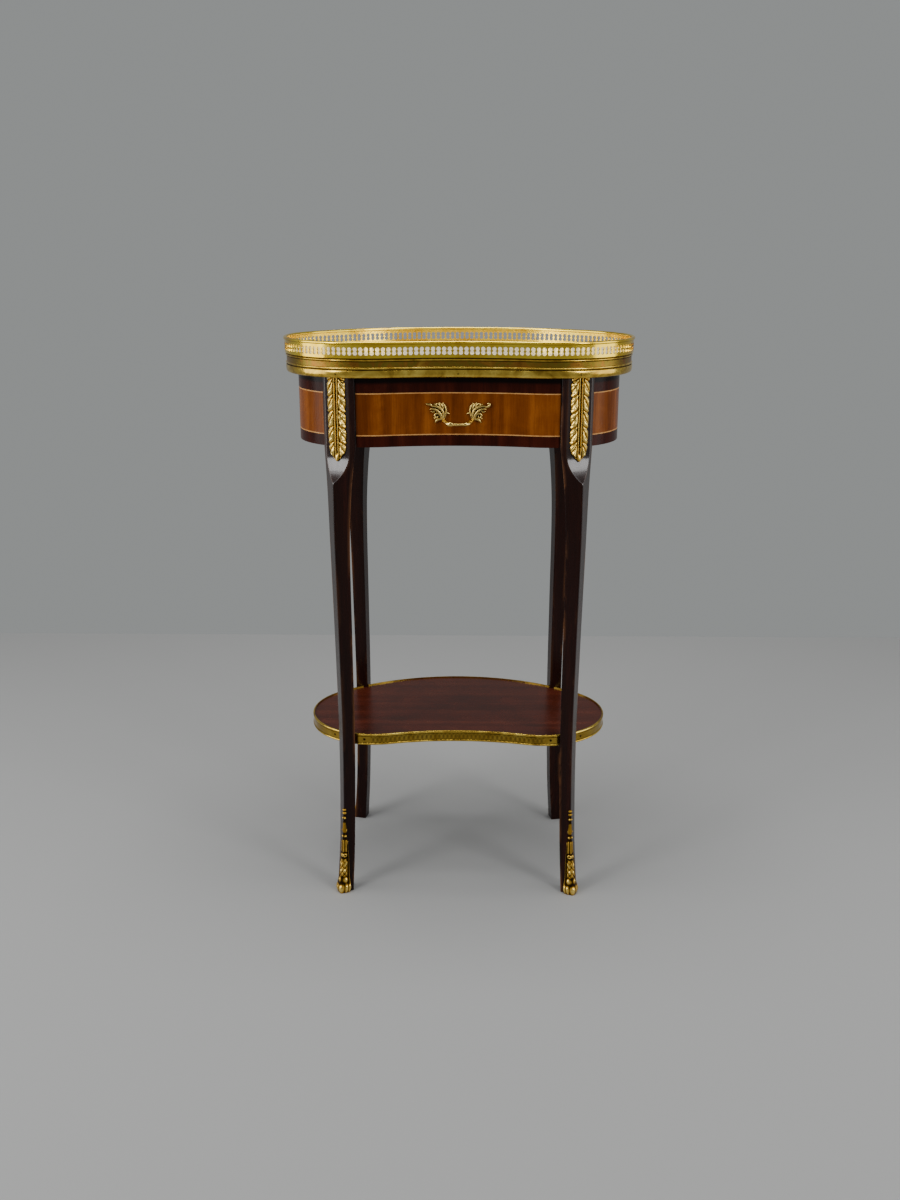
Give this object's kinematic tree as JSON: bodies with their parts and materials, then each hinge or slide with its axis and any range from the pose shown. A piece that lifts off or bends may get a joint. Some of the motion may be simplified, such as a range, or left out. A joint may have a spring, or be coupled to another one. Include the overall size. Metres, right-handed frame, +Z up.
{
  "type": "side table",
  "caption": "Kidney-shaped wooden side table on slim cabriole legs, with a marble top inside a pierced brass gallery, a hollow-fronted drawer below it and a low shelf.",
  "frame": {"origin": "middle of the bounding box on the floor under the feet", "axes": "+Z up, -Y out of the front with the drawer, +X to the right as seen from the front"},
  "size_m": [0.44, 0.2675, 0.725],
  "materials": {
    "marble": "polished",
    "edge_brass": "aged",
    "gallery_brass": "polished",
    "nail_brass": "polished",
    "pull_bronze": "aged",
    "gilt_bronze": "polished",
    "panel_veneer": "french polish",
    "band_veneer": "french polish",
    "string_veneer": "french polish",
    "leg_mahogany": "french polish",
    "shelf_mahogany": "french polish",
    "carcass_wood": "bare",
    "screw_steel": "dull"
  },
  "bodies": {
    "table": {"back_apron_banding": "band_veneer", "back_apron_panel": "panel_veneer", "back_apron_stringing": "string_veneer", "back_left_chute": "gilt_bronze", "back_left_leg": "leg_mahogany", "back_left_sabot": "gilt_bronze", "back_rail": "carcass_wood", "back_right_chute": "gilt_bronze", "back_right_leg": "leg_mahogany", "back_right_sabot": "gilt_bronze", "edge_moulding": "edge_brass", "front_bottom_rail": "carcass_wood", "front_left_chute": "gilt_bronze", "front_left_leg": "leg_mahogany", "front_left_sabot": "gilt_bronze", "front_right_chute": "gilt_bronze", "front_right_leg": "leg_mahogany", "front_right_sabot": "gilt_bronze", "front_top_rail": "carcass_wood", "gallery_bead": "gallery_brass", "glue_blocks": "carcass_wood", "left_apron_banding": "band_veneer", "left_apron_panel": "panel_veneer", "left_apron_stringing": "string_veneer", "left_rail": "carcass_wood", "left_runner": "carcass_wood", "marble_top": "marble", "moulding_nails": "nail_brass", "mount_pins": "nail_brass", "pierced_gallery": "gallery_brass", "rail_dowels": "carcass_wood", "right_apron_banding": "band_veneer", "right_apron_panel": "panel_veneer", "right_apron_stringing": "string_veneer", "right_rail": "carcass_wood", "right_runner": "carcass_wood", "shelf_back_band": "edge_brass", "shelf_board": "shelf_mahogany", "shelf_dowels": "carcass_wood", "shelf_front_band": "edge_brass", "shelf_left_band": "edge_brass", "shelf_nails": "nail_brass", "shelf_right_band": "edge_brass", "top_board": "carcass_wood", "top_screws": "screw_steel"},
    "drawer": {"drawer_back": "carcass_wood", "drawer_banding": "band_veneer", "drawer_bottom": "carcass_wood", "drawer_front": "carcass_wood", "drawer_left_side": "carcass_wood", "drawer_panel": "panel_veneer", "drawer_pull": "pull_bronze", "drawer_right_side": "carcass_wood", "drawer_stringing": "string_veneer", "pull_bolts": "pull_bronze", "pull_nuts": "pull_bronze"}
  },
  "joints": [
    {"name": "drawer_slide", "type": "slide", "parent": "table", "child": "drawer", "axis": [0, -1, 0], "range_m": [0, 0.11]}
  ]
}
